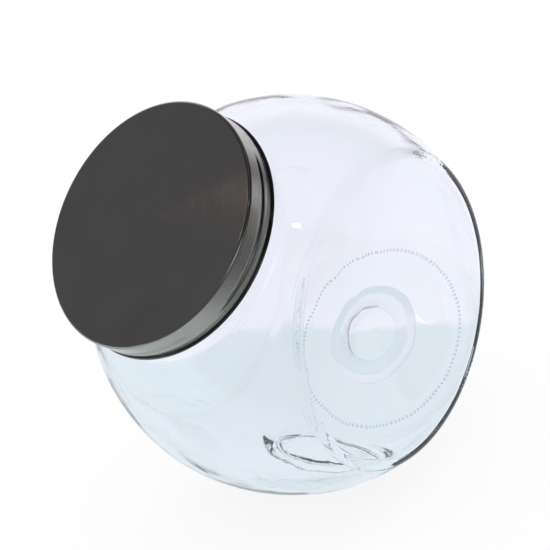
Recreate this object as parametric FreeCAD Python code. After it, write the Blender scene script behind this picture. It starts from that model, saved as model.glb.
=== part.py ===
# A round sweet jar of clear blown glass, flattened on its two sides, with a screw-on steel lid.
# It lies back on an oval foot, so that its mouth faces up and forward.
# X runs across the flat sides, -Y is the side of the mouth, and Z is up.
# The origin is the middle of the foot, on the ground. Sizes are in millimetres and degrees.

import FreeCAD
import Part
import math
import os

# The glass body: a ball with two flat sides
ball_radius = 94.5
crown_offset = 3.5
body_width = 127.4
side_corner = 5.0
wall = 3.6
inner_corner = 5.0

# The neck, and the rim that the lid closes
mouth_tilt = 47.0
finish_radius = 52.0
finish_wall = 3.6
neck_length = 25.4
neck_flare = 5.0
inner_flare = 9.0
lip_round = 1.2
collar_gap = 0.7
collar_height = 2.6
collar_width = 1.4
collar_round = 1.1

# The base opposite the mouth, pushed up in two steps: a wide shallow dome and a steeper one in its middle
base_radius = 53.93
base_thickness = 5.0
heel_radius = 16.0
inner_round = 5.0
push_up_radius = 43.0
push_up_rise = 4.0
push_up_round = 2.0
inner_push_up_round = 6.0
middle_dome_radius = 26.0
middle_dome_rise = 6.0
middle_dome_round = 5.0

# The oval foot, with a hollow under it and a raised pad over the hollow inside the jar
foot_cut = 0.5
foot_length = 68.0
foot_width = 34.0
foot_height = 14.0
foot_slope = 35.0
foot_blend = 3.0
foot_edge = 1.2
foot_end_ridge = 2.0
foot_side_ridge = 4.0
hollow_height = 2.5
pad_height = 5.8
pad_border = 2.0
pad_round = 1.0

# The pressed steel lid, curled outwards at the bottom of its skirt
sheet = 0.5
lid_clearance = 2.2
lid_height = 15.8
lid_edge = 1.3
waist_step = 0.75
waist_height = 3.4
waist_slope = 1.2
curl_radius = 1.25
curl_turn = 290.0

centre = FreeCAD.Vector(0, 0, 0)
across = FreeCAD.Vector(1, 0, 0)
up = FreeCAD.Vector(0, 0, 1)
overlap = 2 * wall
crown_radius = ball_radius + crown_offset
base_reach = math.sqrt(ball_radius ** 2 - base_radius ** 2)
foot_drop = ball_radius - foot_cut
mouth_radius = finish_radius - finish_wall
rim_reach = math.sqrt(ball_radius ** 2 - finish_radius ** 2) + neck_length
lid_top = rim_reach + sheet


# Tips what is made about Z on to the axis of the mouth.
def aimed(shape):
    tipped = shape.copy()
    tipped.rotate(centre, across, mouth_tilt)
    return tipped


# The edges of a shape where the solids that it was made from meet, each on the skins of two of them.
def seams(shape, solids):
    found = []
    for edge in shape.Edges:
        middle = Part.Vertex(edge.valueAt((edge.FirstParameter + edge.LastParameter) / 2))
        touching = [solid for solid in solids if on_skin(solid, middle)]
        if len(touching) > 1:
            found.append(edge)
    return found


def on_skin(solid, point):
    return min(face.distToShape(point)[0] for face in solid.Faces) < 0.001


def join(body, piece, radius):
    whole = body.fuse(piece).removeSplitter()
    return whole.makeFillet(radius, seams(whole, [body, piece]))


def trim(body, pieces, radius):
    rest = body
    for piece in pieces:
        rest = rest.cut(piece)
    return rest.makeFillet(radius, seams(rest, [body] + pieces))


# A ball cut flat on both sides. Its seam is at the back, clear of the mouth, base and foot.
def drum(half_width, radius, crown, corner):
    edge = math.sqrt(crown ** 2 - half_width ** 2) - crown + radius
    left = FreeCAD.Vector(-half_width, 0, 0)
    right = FreeCAD.Vector(half_width, 0, 0)
    left_edge = FreeCAD.Vector(-half_width, edge, 0)
    right_edge = FreeCAD.Vector(half_width, edge, 0)
    outline = Part.Wire([
        Part.makeLine(left, left_edge),
        Part.Arc(left_edge, FreeCAD.Vector(0, radius, 0), right_edge).toShape(),
        Part.makeLine(right_edge, right),
        Part.makeLine(right, left),
    ])
    solid = Part.Face(outline).revolve(centre, across, 360)
    corners = [side for side in solid.Edges if abs(side.Length - 2 * math.pi * edge) < 0.001]
    return aimed(solid.makeFillet(corner, corners))


# A round bar along the axis of the mouth, whose far end can be rounded.
def bar(radius, start, end, rounding=0):
    rod = Part.makeCylinder(radius, end - start, FreeCAD.Vector(0, 0, start))
    if rounding:
        rod = rod.makeFillet(rounding, [edge for edge in rod.Edges if edge.BoundBox.ZMin > end - 0.001])
    return aimed(rod)


# A shallow cap on the base, given by its radius, its rise and how far its rim is from the centre.
def dome(radius, rise, reach):
    ball = (radius ** 2 + rise ** 2) / (2 * rise)
    sphere = Part.makeSphere(ball, FreeCAD.Vector(0, 0, rise - reach - ball))
    return aimed(sphere.common(Part.makeCylinder(radius, 2 * rise, FreeCAD.Vector(0, 0, -rise - reach))))


# Everything below one level.
def under(level):
    side = 4 * ball_radius
    return Part.makeBox(side, side, side, FreeCAD.Vector(-side / 2, -side / 2, level - side))


# An oval block on the ground, whose sides lean by the slope of the foot.
def oval(length, width, height, lean):
    wires = []
    for level in (0, height):
        grown = lean * level * math.tan(math.radians(foot_slope))
        middle = FreeCAD.Vector(0, 0, level - foot_drop)
        wires.append(Part.Wire(Part.Ellipse(middle, length / 2 + grown, width / 2 + grown).toShape()))
    return Part.makeLoft(wires, True, True)


# A ring round the neck, just under the lid.
def collar():
    end = lid_top - lid_height - collar_gap
    ring = bar(finish_radius + collar_width, end - collar_height, end)
    edges = [edge for edge in ring.Edges if isinstance(edge.Curve, Part.Circle)]
    return ring.makeFillet(collar_round, edges)


def glass_outside():
    body = drum(body_width / 2, ball_radius, crown_radius, side_corner)
    body = trim(body, [aimed(under(-base_reach))], heel_radius)
    body = join(body, bar(finish_radius, ball_radius / 2, rim_reach, lip_round), neck_flare)
    body = body.fuse(collar())
    body = body.cut(under(-foot_drop))
    body = join(body, oval(foot_length, foot_width, foot_height, 1), foot_blend)
    body = trim(body, [dome(push_up_radius, push_up_rise, base_reach)], push_up_round)
    body = trim(body, [dome(middle_dome_radius, middle_dome_rise, base_reach)], middle_dome_round)
    return body


def glass_inside():
    space = drum(body_width / 2 - wall, ball_radius - wall, crown_radius - wall, inner_corner)
    space = trim(space, [aimed(under(base_thickness - base_reach))], inner_round)
    space = trim(space, [hollow_oval(pad_border, pad_height)], pad_round)
    inner_dome = dome(push_up_radius, push_up_rise, base_reach - base_thickness)
    space = trim(space, [inner_dome], inner_push_up_round)
    space = join(space, bar(mouth_radius, ball_radius / 2, rim_reach + overlap), inner_flare)
    return space


# The hollow under the foot leaves a ridge all round for the jar to stand on.
def hollow():
    block = hollow_oval(0, hollow_height)
    ceiling = [edge for edge in block.Edges if edge.BoundBox.ZMin > hollow_height - foot_drop - 0.001]
    return block.makeFillet(foot_edge, ceiling)


# An oval block as large as the hollow and a border round it.
def hollow_oval(border, height):
    length = foot_length - 2 * foot_end_ridge + 2 * border
    width = foot_width - 2 * foot_side_ridge + 2 * border
    return oval(length, width, height, -1)


def glass_jar():
    jar = trim(glass_outside(), [glass_inside()], lip_round)
    jar = trim(jar, [hollow()], foot_edge)
    return jar


# One side of the lid's sheet, from the middle of its top to the end of the curl.
def sheet_side(depth):
    outer = finish_radius + lid_clearance + sheet
    waist = outer - waist_step
    curl_height = lid_top - lid_height + curl_radius
    step_bottom = lid_top - lid_height + waist_height
    edge_middle = FreeCAD.Vector(outer - lid_edge, 0, lid_top - lid_edge)
    curl_middle = FreeCAD.Vector(waist - sheet + curl_radius, 0, curl_height)
    curl_end = math.radians(180 + curl_turn)
    edge = arc(edge_middle, lid_edge - depth, math.radians(90), 0)
    curl = arc(curl_middle, curl_radius - sheet + depth, math.radians(180), curl_end)
    corners = [
        FreeCAD.Vector(outer - depth, 0, lid_top - lid_edge),
        FreeCAD.Vector(outer - depth, 0, step_bottom + waist_slope),
        FreeCAD.Vector(waist - depth, 0, step_bottom),
        FreeCAD.Vector(waist - depth, 0, curl_height),
    ]
    middle = FreeCAD.Vector(0, 0, lid_top - depth)
    top_line = Part.makeLine(middle, FreeCAD.Vector(outer - lid_edge, 0, lid_top - depth))
    skirt = [Part.makeLine(a, b) for a, b in zip(corners, corners[1:])]
    return [top_line, edge] + skirt + [curl]


def arc(middle, radius, start, end):
    points = []
    for turn in (start, (start + end) / 2, end):
        points.append(middle + FreeCAD.Vector(radius * math.cos(turn), 0, radius * math.sin(turn)))
    return Part.Arc(*points).toShape()


def lid():
    outer_side = sheet_side(0)
    inner_side = sheet_side(sheet)
    lip = Part.makeLine(outer_side[-1].lastVertex().Point, inner_side[-1].lastVertex().Point)
    axis = Part.makeLine(inner_side[0].firstVertex().Point, outer_side[0].firstVertex().Point)
    outline = Part.Wire(outer_side + [lip] + inner_side[::-1] + [axis])
    return aimed(Part.Face(outline).revolve(centre, up, 360))


os.makedirs("parts", exist_ok=True)
for name, shape in (("glass_jar", glass_jar()), ("lid", lid())):
    shape.translate(FreeCAD.Vector(0, 0, foot_drop))
    shape.exportStep("parts/" + name + ".step")
    print(name, shape.isValid(), len(shape.Solids), round(shape.Volume), "cubic millimetres")
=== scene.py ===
import bpy
import math
from mathutils import Matrix, Vector


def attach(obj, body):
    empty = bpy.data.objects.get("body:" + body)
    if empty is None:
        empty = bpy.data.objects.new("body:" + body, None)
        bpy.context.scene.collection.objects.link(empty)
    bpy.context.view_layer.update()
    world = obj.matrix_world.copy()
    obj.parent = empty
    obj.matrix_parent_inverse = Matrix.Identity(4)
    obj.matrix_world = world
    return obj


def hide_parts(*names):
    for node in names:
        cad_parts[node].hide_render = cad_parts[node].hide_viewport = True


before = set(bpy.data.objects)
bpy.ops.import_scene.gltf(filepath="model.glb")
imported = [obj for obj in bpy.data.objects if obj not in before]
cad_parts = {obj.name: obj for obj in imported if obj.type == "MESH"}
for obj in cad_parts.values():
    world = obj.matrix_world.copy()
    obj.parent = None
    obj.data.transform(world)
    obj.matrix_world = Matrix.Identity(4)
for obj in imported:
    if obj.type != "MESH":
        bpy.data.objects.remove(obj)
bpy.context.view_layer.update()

print("frame loaded")

# The jar's lay-out, as its solids have it. Lengths are in metres, angles in degrees unless they say otherwise.
mouthTilt = math.radians(47)                       # how far the mouth's axis leans from upright
ballCentre = Vector((0, 0, 0.094))                 # middle of the glass ball, over the foot
mouthAxis = Vector((0, -math.sin(mouthTilt), math.cos(mouthTilt)))
mouthFrame = Matrix.Translation(ballCentre) @ Matrix.Rotation(mouthTilt, 4, "X")


# Lowest and highest reach of a CAD node along the mouth's axis, from the ball's middle
def reachAlongMouth(node):
    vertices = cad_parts[node].data.vertices
    reaches = [(vertex.co - ballCentre).dot(mouthAxis) for vertex in vertices]
    return min(reaches), max(reaches)


lidBottom, lidTop = reachAlongMouth("lid")
jarBase = reachAlongMouth("glass_jar")[0]


# A socket that can be added, multiplied and so on: each expression adds its Math nodes
class Wire:
    def __init__(self, tree, socket):
        self.tree = tree
        self.socket = socket

    def maths(self, operation, *values):
        return self.tree.node("ShaderNodeMath", {"operation": operation}, values)

    def __add__(self, other):
        return self.maths("ADD", self, other)

    def __sub__(self, other):
        return self.maths("SUBTRACT", self, other)

    def __rsub__(self, other):
        return self.maths("SUBTRACT", other, self)

    def __mul__(self, other):
        return self.maths("MULTIPLY", self, other)

    __radd__ = __add__
    __rmul__ = __mul__


class NodeTree:
    def __init__(self, owner):
        owner.use_nodes = True
        self.nodes = owner.node_tree.nodes
        self.links = owner.node_tree.links
        self.nodes.clear()

    # One node of any type: its settings first, then the values or links of its sockets
    def node(self, kind, settings=None, values=(), output=0):
        made = self.nodes.new(kind)
        for name, value in (settings or {}).items():
            setattr(made, name, value)
        pairs = values.items() if isinstance(values, dict) else enumerate(values)
        for key, value in pairs:
            if isinstance(value, Wire):
                self.links.new(value.socket, made.inputs[key])
            else:
                made.inputs[key].default_value = value
        return Wire(self, made.outputs[output]) if made.outputs else made

    def vector(self, operation, *values, scale=None, output=0):
        sockets = dict(enumerate(values))
        if scale is not None:
            sockets["Scale"] = scale
        return self.node("ShaderNodeVectorMath", {"operation": operation}, sockets, output)

    def split(self, vector, part):
        return self.node("ShaderNodeSeparateXYZ", values=[vector], output=part)

    def blend(self, amount, first, second):
        settings = {"data_type": "RGBA", "blend_type": "MIX"}
        return self.node("ShaderNodeMix", settings, {0: amount, 6: first, 7: second}, output=2)


def newMaterial(name):
    material = bpy.data.materials.new(name)
    return material, NodeTree(material)


def deselectAll():
    bpy.ops.object.select_all(action="DESELECT")


# A shell turned about Z: one ring is extruded through the (radius, reach) pairs of its outline
def turnShell(name, outline, segments):
    deselectAll()
    radius, reach = outline[0]
    bpy.ops.mesh.primitive_circle_add(vertices=segments, radius=radius, location=(0, 0, reach))
    shell = bpy.context.object
    shell.name = name
    bpy.ops.object.transform_apply(location=True)
    bpy.ops.object.mode_set(mode="EDIT")
    for nextRadius, nextReach in outline[1:]:
        bpy.ops.mesh.extrude_region_move(TRANSFORM_OT_translate={"value": (0, 0, nextReach - reach)})
        grown = nextRadius / radius
        bpy.ops.transform.resize(value=(grown, grown, 1), center_override=(0, 0, nextReach))
        radius, reach = nextRadius, nextReach
    bpy.ops.object.mode_set(mode="OBJECT")
    return shell


# Moves the mesh of a piece made about Z on to the mouth's axis
def aimAtMouth(piece):
    piece.data.transform(mouthFrame)
    piece.data.update()


def applyModifiers(piece):
    bpy.context.view_layer.objects.active = piece
    for modifier in list(piece.modifiers):
        bpy.ops.object.modifier_apply(modifier=modifier.name)


def smoothStep(tree, value, start, end):
    return tree.node("ShaderNodeMapRange", {"interpolation_type": "SMOOTHSTEP"}, {
        "Value": value, "From Min": start, "From Max": end})


glassLook = {
    "tint": (0.965, 0.975, 0.995, 1),
    "ior": 1.5,
    "edgeColor": (0.55, 0.82, 0.78, 1),           # how thick glass looks from its edge
    "edgeDensity": 12.0,
    "waveScale": 34.0, "waveDetail": 1.0, "waveDistance": 0.0006,    # slow ripples that pressing leaves
}


def makeGlass():
    look = glassLook
    material, tree = newMaterial("clearGlass")
    place = tree.node("ShaderNodeTexCoord", output="Object")
    waves = tree.node("ShaderNodeTexNoise", values={
        "Vector": place, "Scale": look["waveScale"], "Detail": look["waveDetail"]})
    normal = tree.node("ShaderNodeBump", values={
        "Strength": 1.0, "Distance": look["waveDistance"], "Height": waves})
    shader = tree.node("ShaderNodeBsdfPrincipled", values={
        "Base Color": look["tint"],
        "Roughness": 0.0,
        "IOR": look["ior"],
        "Transmission Weight": 1.0,
        "Normal": normal,
    })
    depth = tree.node("ShaderNodeVolumeAbsorption", values={
        "Color": look["edgeColor"], "Density": look["edgeDensity"]})
    tree.node("ShaderNodeOutputMaterial", values={"Surface": shader, "Volume": depth})
    return material


clearGlass = makeGlass()
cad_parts["glass_jar"].material_slots[0].material = clearGlass
print("glass done")

smoothAngle = math.radians(50)                     # sharper edges on the glass pieces stay sharp

stippleLook = {
    "ringRadius": 0.0473, "count": 132, "sides": 8, "rings": 6,
    "length": 0.0017, "width": 0.0012, "rise": 0.0006,
    "sunk": 0.00005,                               # into the glass, so that no air gap shows
}


# A ring of small moulded dots round the base, for the jar to stand on when its mouth is up
def makeStipples():
    look = stippleLook
    deselectAll()
    bpy.ops.mesh.primitive_uv_sphere_add(segments=look["sides"], ring_count=look["rings"], radius=1)
    dot = bpy.context.object
    bpy.ops.object.mode_set(mode="EDIT")
    bpy.ops.mesh.bisect(plane_co=(0, 0, 0), plane_no=(0, 0, 1), use_fill=True, clear_outer=True)
    bpy.ops.object.mode_set(mode="OBJECT")
    bpy.ops.object.shade_smooth_by_angle(angle=smoothAngle)
    dots = [dot]
    for number in range(1, look["count"]):
        copy = dot.copy()
        copy.data = dot.data.copy()
        bpy.context.collection.objects.link(copy)
        dots.append(copy)
    size = Matrix.Diagonal((look["length"] / 2, look["width"] / 2, look["rise"] + look["sunk"], 1))
    moved = Matrix.Translation((look["ringRadius"], 0, jarBase + look["sunk"]))
    for number, copy in enumerate(dots):
        turned = Matrix.Rotation(math.tau * number / look["count"], 4, "Z")
        copy.data.transform(mouthFrame @ turned @ moved @ size)
    deselectAll()
    for copy in dots:
        copy.select_set(True)
    bpy.context.view_layer.objects.active = dots[0]
    bpy.ops.object.join()
    ring = bpy.context.object
    ring.name = "base_stipples"
    ring.data.materials.clear()
    ring.data.materials.append(clearGlass)
    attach(ring, "root")


baseRingLook = {
    "inner": 0.0140, "outer": 0.0260, "rise": 0.0007, "rows": 14, "segments": 160,
    "glass": 0.005, "domeRadius": 0.043, "domeRise": 0.004,      # the base that it lies on, as in the solids
    "sunk": 0.0001, "rimSunk": 0.00002, "underEdge": 0.0001,     # its underside lies just inside the glass
}


# The soft ring that the punch leaves round the middle of the base, on its inner face
def makeBaseRing():
    look = baseRingLook
    ball = (look["domeRadius"] ** 2 + look["domeRise"] ** 2) / (2 * look["domeRise"])
    width = look["outer"] - look["inner"]

    def innerFace(radius):
        return jarBase + look["glass"] + math.sqrt(ball ** 2 - radius ** 2) - ball + look["domeRise"]

    outline = []
    for row in range(look["rows"] + 1):
        share = row / look["rows"]
        radius = look["inner"] + width * share
        swell = look["rise"] * math.sin(math.pi * share) ** 2
        rimSunk = look["rimSunk"] if row in (0, look["rows"]) else 0
        outline.append((radius, innerFace(radius) + swell - rimSunk))
    outline.append((look["outer"] - look["underEdge"], innerFace(look["outer"]) - look["sunk"]))
    outline.append((look["inner"] + look["underEdge"], innerFace(look["inner"]) - look["sunk"]))
    ring = turnShell("base_ring", outline, look["segments"])
    bpy.ops.object.mode_set(mode="EDIT")
    bpy.ops.mesh.select_mode(type="EDGE")
    bpy.ops.mesh.select_all(action="DESELECT")
    bpy.ops.mesh.select_non_manifold(extend=False)
    bpy.ops.mesh.bridge_edge_loops()
    bpy.ops.mesh.select_all(action="SELECT")
    bpy.ops.mesh.normals_make_consistent(inside=False)
    bpy.ops.object.mode_set(mode="OBJECT")
    aimAtMouth(ring)
    bpy.ops.object.shade_smooth_by_angle(angle=smoothAngle)
    ring.data.materials.append(clearGlass)
    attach(ring, "root")


makeStipples()
makeBaseRing()
print("base done")

lidLook = {
    "segments": 360, "sheet": 0.0005, "smoothAngle": 40,
    "topRings": (0.002, 0.012, 0.028, 0.042, 0.050), "topMargin": 0.0006,
    "skirtRadius": 0.0547, "skirtRows": 36,
    "edgeRound": 0.0013, "edgeSteps": 8,
    "waistStep": 0.0002, "waistFrom": 0.0040, "waistTo": 0.0034,     # heights above the bottom of the bead
    "beadRound": 0.00045, "beadTurn": 290, "beadSteps": 20,
    "threadStarts": 4, "threadFirst": 313, "threadSpan": 78, "threadRunOut": 9,
    "threadTop": 0.0079, "threadDrop": 0.0021,                       # a thread's height, and how far it falls
    "threadWidth": 0.0007, "threadDepth": 0.0005,
}


# Points of an arc in an outline, its angles in degrees from straight outwards
def arcPoints(middle, radius, start, end, steps):
    points = []
    for step in range(steps + 1):
        turn = math.radians(start + (end - start) * step / steps)
        points.append((middle[0] + radius * math.cos(turn), middle[1] + radius * math.sin(turn)))
    return points


# Outline of the lid's outer face, from the middle of its top to the end of its curl
def lidOutline():
    look = lidLook
    outer = look["skirtRadius"]
    flat = outer - look["edgeRound"]
    top = lidTop - look["edgeRound"]
    bottom = lidBottom + look["waistFrom"]
    outline = [(radius, lidTop) for radius in look["topRings"] + (flat - look["topMargin"],)]
    outline += arcPoints((flat, top), look["edgeRound"], 90, 0, look["edgeSteps"])
    for row in range(1, look["skirtRows"] + 1):
        outline.append((outer, top + (bottom - top) * row / look["skirtRows"]))
    waist = outer - look["waistStep"]
    outline.append(((outer + waist) / 2, lidBottom + (look["waistFrom"] + look["waistTo"]) / 2))
    outline.append((waist, lidBottom + look["waistTo"]))
    beadMiddle = (waist + look["beadRound"], lidBottom + look["beadRound"])
    outline += arcPoints(beadMiddle, look["beadRound"], 180, 180 - look["beadTurn"], look["beadSteps"])
    return outline


# How deep the rolled threads are at one place of the skirt
def threadDepthAt(turn, height):
    look = lidLook
    depth = 0
    for start in range(look["threadStarts"]):
        run = (look["threadFirst"] + 360 * start / look["threadStarts"] - turn) % 360
        if run > look["threadSpan"]:
            continue
        level = look["threadTop"] - look["threadDrop"] * run / look["threadSpan"]
        ends = min(1, run / look["threadRunOut"], (look["threadSpan"] - run) / look["threadRunOut"])
        depth += look["threadDepth"] * ends * math.exp(-((height - level) / look["threadWidth"]) ** 2)
    return depth


def makeLid():
    look = lidLook
    nearly = 0.00001
    lid = turnShell("steel_lid", lidOutline(), look["segments"])
    for vertex in lid.data.vertices:
        radius = vertex.co.to_2d().length
        if abs(radius - look["skirtRadius"]) < nearly:
            turn = math.degrees(math.atan2(vertex.co.y, vertex.co.x)) % 360
            narrowed = 1 - threadDepthAt(turn, vertex.co.z - lidBottom) / radius
            vertex.co.x *= narrowed
            vertex.co.y *= narrowed
    bpy.ops.object.mode_set(mode="EDIT")
    bpy.ops.mesh.select_mode(type="VERT")
    bpy.ops.mesh.select_all(action="DESELECT")
    bpy.ops.object.mode_set(mode="OBJECT")
    for vertex in lid.data.vertices:                # the hole in the middle of the top, and nothing else
        vertex.select = vertex.co.to_2d().length < look["topRings"][0] + nearly
    bpy.ops.object.mode_set(mode="EDIT")
    bpy.ops.mesh.edge_face_add()
    bpy.ops.mesh.select_all(action="SELECT")
    bpy.ops.mesh.normals_make_consistent(inside=False)
    bpy.ops.object.mode_set(mode="OBJECT")
    wall = lid.modifiers.new("wall", "SOLIDIFY")
    wall.thickness = look["sheet"]
    wall.offset = -1
    applyModifiers(lid)
    aimAtMouth(lid)
    bpy.ops.object.shade_smooth_by_angle(angle=math.radians(look["smoothAngle"]))
    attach(lid, "root")
    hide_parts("lid")
    return lid


steelLook = {
    "color": (0.40, 0.392, 0.365, 1), "darkColor": (0.32, 0.312, 0.295, 1),
    "roughness": 0.10, "roughnessChange": 0.01,
    "beadPaintedShade": 0.10, "paintedShadeHeight": 0.0009, "paintedShadeBlend": 0.0003,     # painted shade: the underside of the bead is darkened to stand in for its shadow
    "brushScale": 40000.0, "brushDetail": 2.0, "brushTilt": 0.36,    # too fine to see, it spreads reflections
    "ringScale": 2200.0, "cloudScale": 45.0, "detail": 3.0,
}


# Steel brushed round and round: fine random tilts of the normal across the direction of the brush
def makeSteel():
    look = steelLook
    material, tree = newMaterial("brushedSteel")
    place = tree.node("ShaderNodeTexCoord", output="Object")
    local = tree.node("ShaderNodeMapping", {"vector_type": "TEXTURE"}, {
        "Vector": place, "Location": ballCentre, "Rotation": (mouthTilt, 0, 0)})
    flattened = tree.vector("MULTIPLY", local, (1, 1, 0))
    radius = tree.vector("LENGTH", flattened, output="Value")
    along = radius - tree.split(local, "Z")                     # distance along the lid's outline
    fromMiddle = tree.vector("SUBTRACT", place, tuple(ballCentre))
    around = tree.vector("NORMALIZE", tree.vector("CROSS_PRODUCT", tuple(mouthAxis), fromMiddle))
    face = tree.node("ShaderNodeNewGeometry", output="Normal")
    brush = tree.node("ShaderNodeTexNoise", {"noise_dimensions": "1D"}, {
        "W": along, "Scale": look["brushScale"], "Detail": look["brushDetail"]})
    across = tree.vector("CROSS_PRODUCT", around, face)
    lean = tree.vector("SCALE", across, scale=(brush - 0.5) * (look["brushTilt"] * 2))
    normal = tree.vector("NORMALIZE", tree.vector("ADD", face, lean))
    rings = tree.node("ShaderNodeTexNoise", {"noise_dimensions": "1D"}, {
        "W": along, "Scale": look["ringScale"], "Detail": look["detail"]})
    clouds = tree.node("ShaderNodeTexNoise", values={
        "Vector": place, "Scale": look["cloudScale"], "Detail": look["detail"]})
    color = tree.blend(clouds, look["color"], look["darkColor"])
    # Painted shade: the base colour is darkened below this height over the lid's bottom, standing in for the
    # shadow under the bead
    paintedShadeTop = lidBottom + look["paintedShadeHeight"]
    bead = smoothStep(tree, tree.split(local, "Z"), paintedShadeTop, paintedShadeTop - look["paintedShadeBlend"])
    shader = tree.node("ShaderNodeBsdfPrincipled", values={
        "Base Color": tree.vector("SCALE", color, scale=1 - bead * (1 - look["beadPaintedShade"])),
        "Metallic": 1.0,
        "Roughness": look["roughness"] + rings * look["roughnessChange"],
        "Normal": normal,
    })
    tree.node("ShaderNodeOutputMaterial", values={"Surface": shader})
    return material


lid = makeLid()
lid.data.materials.append(makeSteel())
print("lid done")

floorLook = {
    "size": 30.0, "gray": (0.8, 0.8, 0.8, 1), "shadow": 0.2, "white": 1.07,
    "far": (1.0, 0.975, 1.05, 1), "near": (0.83, 0.885, 0.935, 1),
    "sweepDirection": (-0.371, 1.032, 0), "sweepFrom": 0.150, "sweepTo": 0.165,
    "side": (0.15, 0.16, 0.155, 1), "glassShare": 0.6,               # the dark room past the side of the sweep
    "sideDirection": (1, -0.5, 0), "sideFrom": 0.10, "sideTo": 0.22,
}


# Which rays come off a mirror or out of glass. A ray out of clear glass counts as glossy too.
def studioRays(tree):
    throughGlass = tree.node("ShaderNodeLightPath", output="Is Transmission Ray")
    offMetal = tree.node("ShaderNodeLightPath", output="Is Glossy Ray") * (1 - throughGlass)
    return offMetal, throughGlass


# White to the eye, with a soft shadow under the jar. Glass and metal see its nearer part a little grayer.
def makeFloor():
    look = floorLook
    deselectAll()
    bpy.ops.mesh.primitive_plane_add(size=look["size"], location=(0, 0, 0))
    floor = bpy.context.object
    floor.name = "floor"
    material, tree = newMaterial("floorWhite")
    place = tree.node("ShaderNodeTexCoord", output="Object")
    depth = tree.vector("DOT_PRODUCT", place, look["sweepDirection"], output="Value")
    far = smoothStep(tree, depth, look["sweepFrom"], look["sweepTo"])
    direct = tree.node("ShaderNodeLightPath", output="Is Camera Ray")
    offMetal, throughGlass = studioRays(tree)
    matt = tree.node("ShaderNodeBsdfDiffuse", values={"Color": look["gray"]})
    white = tree.node("ShaderNodeEmission", values={"Color": (1, 1, 1, 1), "Strength": look["white"]})
    sideways = tree.vector("DOT_PRODUCT", place, look["sideDirection"], output="Value")
    pastSide = smoothStep(tree, sideways, look["sideFrom"], look["sideTo"])
    beside = pastSide * (offMetal + throughGlass * look["glassShare"])
    sweep = tree.blend(beside, tree.blend(far, look["near"], look["far"]), look["side"])
    seen = tree.node("ShaderNodeEmission", values={"Color": sweep, "Strength": 1.0})
    eye = tree.node("ShaderNodeMixShader", values=[direct * (1 - look["shadow"]), matt, white])
    mixed = tree.node("ShaderNodeMixShader", values=[offMetal + throughGlass, eye, seen])
    tree.node("ShaderNodeOutputMaterial", values={"Surface": mixed})
    floor.data.materials.append(material)


studioLook = {
    "color": (1.01, 0.985, 1.06, 1),
    "darkPatches": [        # direction, how dark to metal and to glass, cosines of the inner and outer edge
        ((-0.25, -0.87, 0.42), 0.84, 0.28, 0.50, 0.25),
        ((0.75, 0.66, 0.0), 0.90, 0.70, 0.80, 0.50),
        ((0.35, 0.25, 0.90), 0.85, 0.22, 0.70, 0.40),
    ],
}


# White to the eye and on matt surfaces. Glass and metal see the dark patches too.
def makeStudio():
    look = studioLook
    world = bpy.data.worlds.new("studio")
    bpy.context.scene.world = world
    tree = NodeTree(world)
    direction = tree.node("ShaderNodeTexCoord", output="Generated")
    offMetal, throughGlass = studioRays(tree)
    level = 1
    for patch, metalDark, glassDark, inner, outer in look["darkPatches"]:
        facing = tree.vector("DOT_PRODUCT", direction, tuple(Vector(patch).normalized()), output="Value")
        inside = smoothStep(tree, facing, outer, inner)
        level = (1 - inside * (offMetal * metalDark + throughGlass * glassDark)) * level
    sky = tree.node("ShaderNodeBackground", values={
        "Color": tree.blend(offMetal + throughGlass, (1, 1, 1, 1), look["color"]), "Strength": level})
    tree.node("ShaderNodeOutputWorld", values={"Surface": sky})


makeFloor()
makeStudio()
print("studio done")

cameraLook = {
    "azimuth": 43.99, "elevation": 23.14, "roll": -12.69, "distance": 0.6352,
    "aim": (-0.0067, -0.0007, 0.1037),
    "lens": 87.38, "sensor": 36, "clip": 0.01,     # the lens and sensor are in millimetres
}


# From the object towards the camera
def cameraDirection():
    azimuth = math.radians(cameraLook["azimuth"])
    elevation = math.radians(cameraLook["elevation"])
    flat = math.cos(elevation)
    return Vector((math.sin(azimuth) * flat, -math.cos(azimuth) * flat, math.sin(elevation)))


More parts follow.
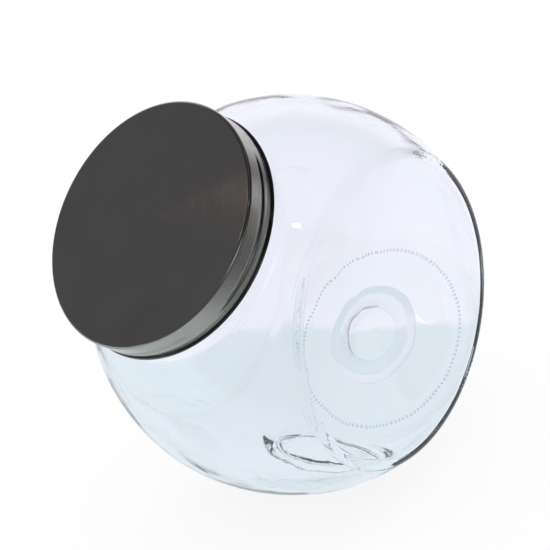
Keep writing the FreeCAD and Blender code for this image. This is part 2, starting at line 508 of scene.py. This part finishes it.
lampLook = {
    "distance": 1.0,
    "streak": {                                    # a faint warm streak across the lid
        "tilt": 0.20, "turn": 16,
        "length": 0.35, "width": 0.03, "power": 0.13, "color": (1.0, 0.72, 0.35),
    },
    "glint": {                                     # a small warm light on the glass
        "direction": (0.50, -0.21, 0.84),
        "length": 0.055, "width": 0.03, "power": 0.04, "color": (1.0, 0.93, 0.72),
    },
}


# A lamp that faces the lid from one direction, its long side turned towards the mouth's axis
def makeLamp(look, towards):
    deselectAll()
    lidMiddle = ballCentre + mouthAxis * lidTop
    bpy.ops.object.light_add(type="AREA", location=lidMiddle + towards * lampLook["distance"])
    lamp = bpy.context.object
    side = towards.cross(mouthAxis).normalized()
    along = side.cross(towards).normalized()
    lamp.rotation_euler = Matrix((along, side, towards)).transposed().to_euler()
    lamp.data.shape = "RECTANGLE"
    lamp.data.size = look["length"]
    lamp.data.size_y = look["width"]
    lamp.data.energy = look["power"]
    lamp.data.color = look["color"]


# Where the lamp has to be for the camera to see it mirrored by brushing that leans from the mouth's axis
def streakDirection(look):
    turn = math.radians(look["turn"])
    leant = (mouthFrame.to_3x3() @ Vector((math.cos(turn), math.sin(turn), 0))) * look["tilt"]
    halfway = (mouthAxis + leant).normalized()
    view = cameraDirection()
    return 2 * view.dot(halfway) * halfway - view


makeLamp(lampLook["streak"], streakDirection(lampLook["streak"]))
makeLamp(lampLook["glint"], Vector(lampLook["glint"]["direction"]).normalized())


def makeCamera():
    turned = Matrix.Rotation(math.radians(cameraLook["azimuth"]), 4, "Z")
    raised = Matrix.Rotation(math.radians(90 - cameraLook["elevation"]), 4, "X")
    rolled = Matrix.Rotation(math.radians(cameraLook["roll"]), 4, "Z")
    bpy.ops.object.camera_add()
    camera = bpy.context.object
    camera.matrix_world = (Matrix.Translation(Vector(cameraLook["aim"])) @ turned @ raised @ rolled
                           @ Matrix.Translation((0, 0, cameraLook["distance"])))
    camera.data.lens = cameraLook["lens"]
    camera.data.sensor_width = cameraLook["sensor"]
    camera.data.clip_start = cameraLook["clip"]
    bpy.context.scene.camera = camera
    bpy.context.scene.view_settings.view_transform = "Standard"


makeCamera()
